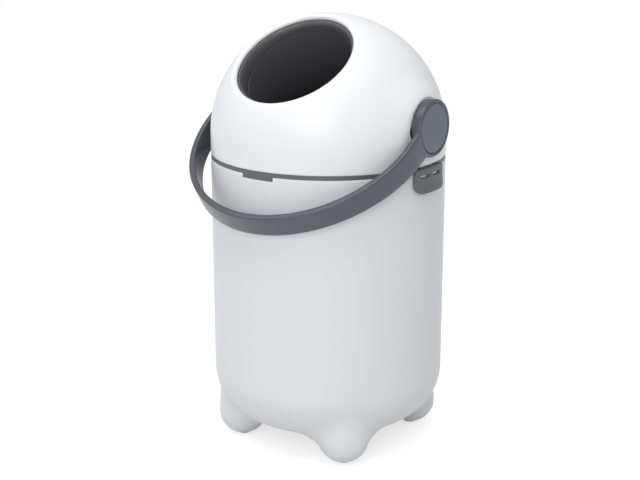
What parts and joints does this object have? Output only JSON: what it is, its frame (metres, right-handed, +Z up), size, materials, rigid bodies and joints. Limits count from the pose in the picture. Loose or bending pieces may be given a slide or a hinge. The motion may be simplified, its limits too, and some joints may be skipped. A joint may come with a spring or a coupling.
{
  "type": "nappy bin",
  "caption": "Drum-shaped nappy bin on moulded feet; its domed lift-off head holds a round bowl that tips over when the carrying handle is swung back.",
  "frame": {"origin": "on the floor under the bin's axis, in the plane of the four foot pads", "axes": "+Z up along the bin's axis, -Y to the front where the mouth and the handle are, +X to the right side seen from behind"},
  "size_m": [0.294, 0.3086, 0.5182],
  "materials": {
    "dome_white": "gloss white",
    "bin_white": "satin white",
    "slate": "satin slate grey",
    "grey": "fine matt grey",
    "charcoal": "soft gloss charcoal",
    "seal_rubber": "soft black elastomer",
    "pad_rubber": "pale rubber",
    "steel": "bright zinc plated",
    "natural": "natural acetal"
  },
  "bodies": {
    "bin": {"bin_body": "bin_white", "foot_pads": "pad_rubber"},
    "bag_holder": {"bag_ring": "grey", "lid_gasket": "seal_rubber"},
    "head": {"dome": "dome_white", "dome_plate": "grey", "plate_screws": "steel", "chute": "charcoal", "chute_screws": "steel", "wiper_seal": "seal_rubber", "bush_right": "natural", "bush_left": "natural", "catch_pin_right": "steel", "catch_pin_left": "steel"},
    "bowl": {"handle": "slate", "handle_cap_right": "slate", "handle_cap_left": "slate", "handle_screws": "steel", "hub_right": "natural", "hub_left": "natural", "hub_screws": "steel", "thrust_washers": "steel", "mouth_shell": "charcoal", "closing_shell": "charcoal", "cup": "charcoal"},
    "right_catch": {"catch_right": "grey"},
    "left_catch": {"catch_left": "grey"}
  },
  "joints": [
    {"name": "bag_ring_lift", "type": "slide", "parent": "bin", "child": "bag_holder", "axis": [0, 0, 1], "range_m": [0, 0.06]},
    {"name": "head_lift", "type": "slide", "parent": "bag_holder", "child": "head", "axis": [0, 0, 1], "range_m": [0, 0.12]},
    {"name": "bowl_turn", "type": "hinge", "parent": "head", "child": "bowl", "pos_m": [0, 0, 0.398], "axis": [-1, 0, 0], "range_deg": [0, 215]},
    {"name": "right_catch_pull", "type": "hinge", "parent": "head", "child": "right_catch", "pos_m": [0.1372, 0, 0.3525], "axis": [0, -1, 0], "range_deg": [0, 20], "stiffness_Nm_per_rad": 0.05},
    {"name": "left_catch_pull", "type": "hinge", "parent": "head", "child": "left_catch", "pos_m": [-0.1372, 0, 0.3525], "axis": [0, 1, 0], "range_deg": [0, 20], "stiffness_Nm_per_rad": 0.05}
  ]
}
